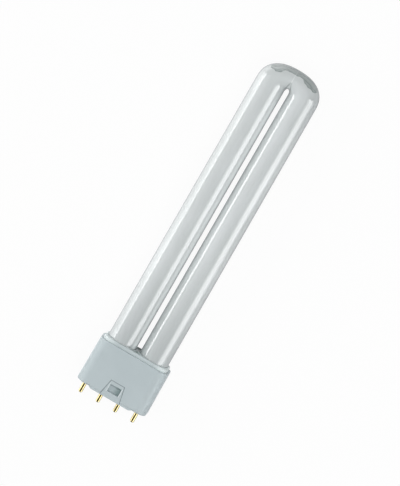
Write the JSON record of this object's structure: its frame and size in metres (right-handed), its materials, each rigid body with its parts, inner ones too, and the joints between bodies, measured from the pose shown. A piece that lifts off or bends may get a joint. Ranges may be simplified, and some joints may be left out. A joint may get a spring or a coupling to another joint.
{
  "type": "compact fluorescent lamp",
  "caption": "Single-ended compact fluorescent lamp: a white glass tube bent into a narrow U in a moulded plug-in cap with contact pins in a row and a catch window on each broad face.",
  "frame": {"origin": "middle of the cap's seat, between the two inner pins", "axes": "+Y along the lamp from the seat to the crown, +X across the two legs, +Z out of the broad face that looks up while the lamp lies on the other one"},
  "size_m": [0.0434, 0.2164, 0.0234],
  "materials": {
    "tube_glass": "clear glossy glass over an opaque white coating on its inside",
    "cap_plastic": "satin moulded thermoplastic, light grey",
    "holder_plastic": "satin moulded thermoplastic, paler grey than the cap",
    "pin_brass": "bright drawn brass",
    "lead_metal": "drawn nickel-iron wire",
    "cement": "matt dried lamp cement"
  },
  "bodies": {
    "root": {"glass_tube": "tube_glass", "cap_shell": "cap_plastic", "tube_holder": "holder_plastic", "cement_left": "cement", "cement_right": "cement", "contact_pin_1": "pin_brass", "lead_wire_1": "lead_metal", "contact_pin_2": "pin_brass", "lead_wire_2": "lead_metal", "contact_pin_3": "pin_brass", "lead_wire_3": "lead_metal", "contact_pin_4": "pin_brass", "lead_wire_4": "lead_metal"}
  },
  "joints": []
}
